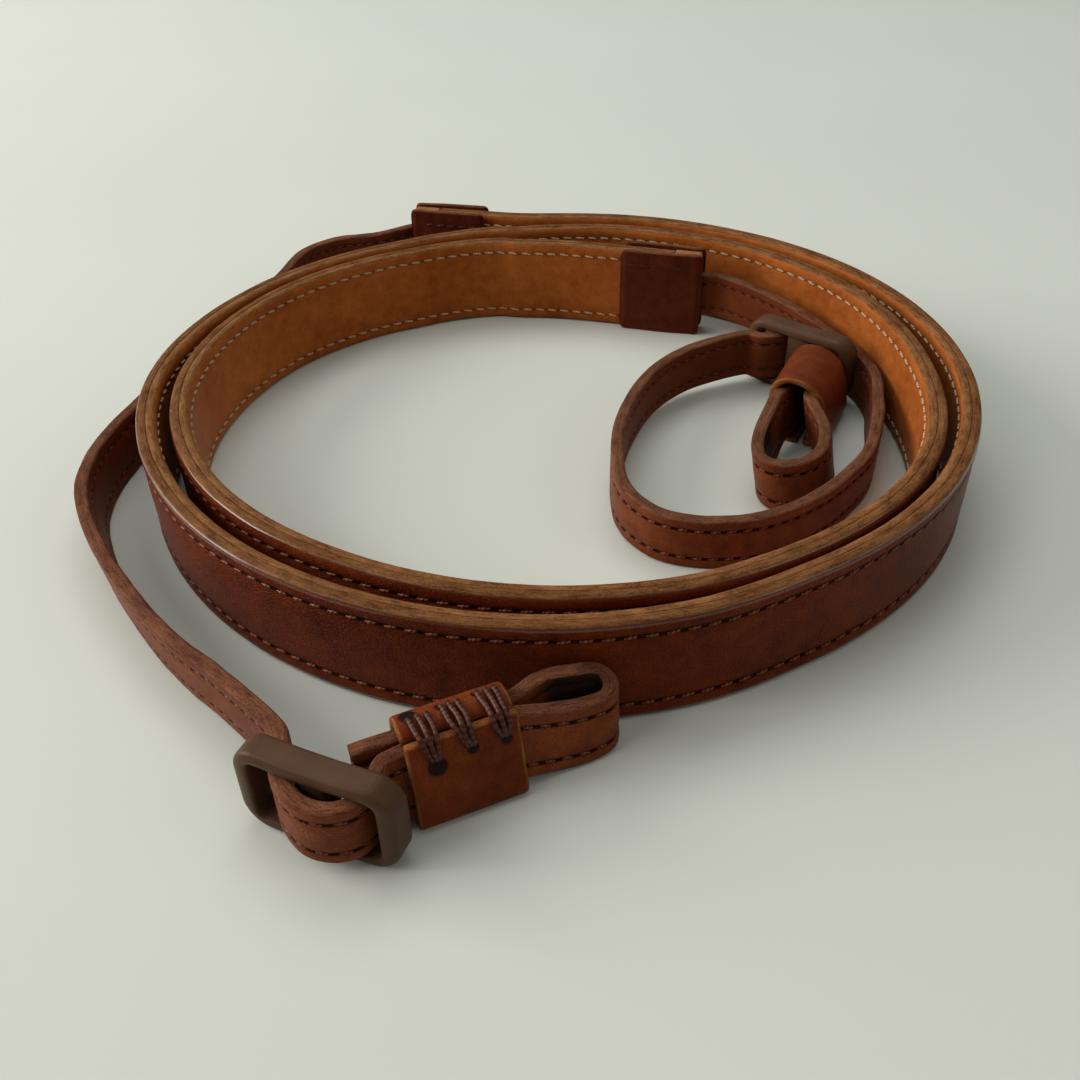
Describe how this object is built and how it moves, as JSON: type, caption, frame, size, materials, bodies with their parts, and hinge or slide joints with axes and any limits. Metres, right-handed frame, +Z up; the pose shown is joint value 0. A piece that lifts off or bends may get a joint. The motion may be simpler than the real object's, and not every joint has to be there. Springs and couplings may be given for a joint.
{
  "type": "camera neck strap",
  "caption": "Leather camera neck strap with slides, keepers and lug loops, coiled and standing on its edge.",
  "frame": {"origin": "bottom centre of the overall box, on the surface the strap stands on", "axes": "+Z up, across the strap's width, the shortest extent; -Y towards the side where slide A and lug loop A lie"},
  "size_m": [0.157, 0.1748, 0.0186],
  "materials": {
    "russet_leather": "satin grain",
    "ochre_lining": "smooth satin",
    "maroon_leather": "satin grain",
    "chestnut_leather": "satin grain",
    "sleeve_leather": "satin grain",
    "taupe_plastic": "matte"
  },
  "bodies": {
    "root": {"shoulder_outer_ply": "russet_leather", "shoulder_lining": "ochre_lining", "end_cover_a": "maroon_leather", "end_cover_b": "maroon_leather", "thin_strap_a": "chestnut_leather", "thin_strap_b": "chestnut_leather", "slide_a": "taupe_plastic", "slide_b": "taupe_plastic", "keeper_a": "sleeve_leather", "keeper_b": "sleeve_leather"}
  },
  "joints": []
}
